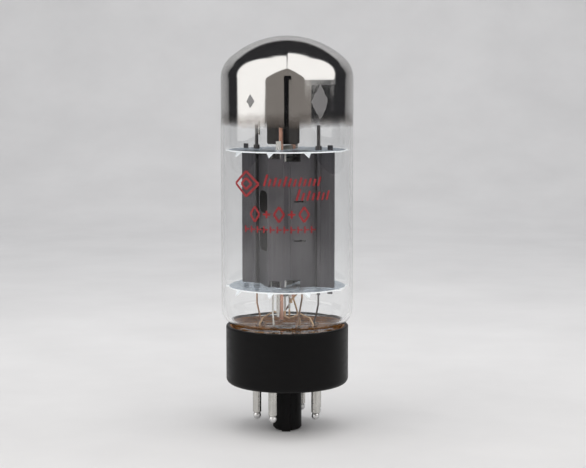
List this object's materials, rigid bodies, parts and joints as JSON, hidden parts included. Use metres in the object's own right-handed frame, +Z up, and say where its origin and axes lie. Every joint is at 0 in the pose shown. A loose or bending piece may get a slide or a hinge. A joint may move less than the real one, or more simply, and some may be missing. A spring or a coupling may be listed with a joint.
{
  "type": "vacuum tube",
  "caption": "Beam tetrode vacuum tube: tubular glass bulb with a getter mirror, electrode cage between mica discs, black keyed octal base.",
  "frame": {"origin": "on the tube's axis, in the plane of the base's underside where the pins leave it, 0.87 mm above the rim it sits on", "axes": "+Z up along the bulb, away from the pins; -Y towards the locating key; place 1 is the first place anticlockwise from the key, seen from above"},
  "size_m": [0.036, 0.036, 0.1079],
  "materials": {
    "glass": "clear, polished",
    "stem_glass": "clear pressed glass with drawn beads",
    "getter_film": "bright evaporated metal film, fading at its lower edge",
    "base_moulding": "black moulded phenolic, satin with a polished rim",
    "cement": "amber brown basing cement, matt",
    "pin_plating": "nickel plated, satin",
    "solder": "tin-lead solder, bright domed",
    "mica": "translucent pale mica with bright edges",
    "anode_coating": "grey aluminised steel, satin",
    "nickel": "bright nickel sheet and wire",
    "dark_rod": "dark oxidised steel",
    "copper_rod": "copper grid rod, satin",
    "grid_wire": "fine drawn wire",
    "black_fin": "carbonised black, matt",
    "oxide_coating": "white emissive oxide coating, chalky",
    "heater_coating": "white alumina insulation, matt"
  },
  "bodies": {
    "root": {"anode_half_front": "anode_coating", "anode_half_rear": "anode_coating", "anode_lead": "dark_rod", "anode_support_rod_left": "dark_rod", "anode_support_rod_right": "dark_rod", "base_cement": "cement", "base_shell": "base_moulding", "beam_plate_front": "nickel", "beam_plate_lead": "nickel", "beam_plate_rear": "nickel", "beam_plate_strap": "nickel", "cathode_lead": "nickel", "cathode_sleeve": "oxide_coating", "cathode_tab": "nickel", "contact_pin_2": "pin_plating", "contact_pin_3": "pin_plating", "contact_pin_4": "pin_plating", "contact_pin_5": "pin_plating", "contact_pin_7": "pin_plating", "contact_pin_8": "pin_plating", "control_grid_lead": "nickel", "control_grid_rods": "copper_rod", "control_grid_winding": "grid_wire", "exhaust_tube": "stem_glass", "getter_flash": "getter_film", "getter_ring": "nickel", "getter_support_wire": "nickel", "glass_bulb": "glass", "glass_stem": "stem_glass", "grid_fin_front": "black_fin", "grid_fin_rear": "black_fin", "heater": "heater_coating", "heater_lead_front": "nickel", "heater_lead_rear": "nickel", "mica_spacer_bottom": "mica", "mica_spacer_top": "mica", "pin_solder_tips": "solder", "post_collars": "dark_rod", "screen_grid_lead": "nickel", "screen_grid_rods": "nickel", "screen_grid_winding": "grid_wire", "stem_support_wires": "dark_rod"}
  },
  "joints": []
}
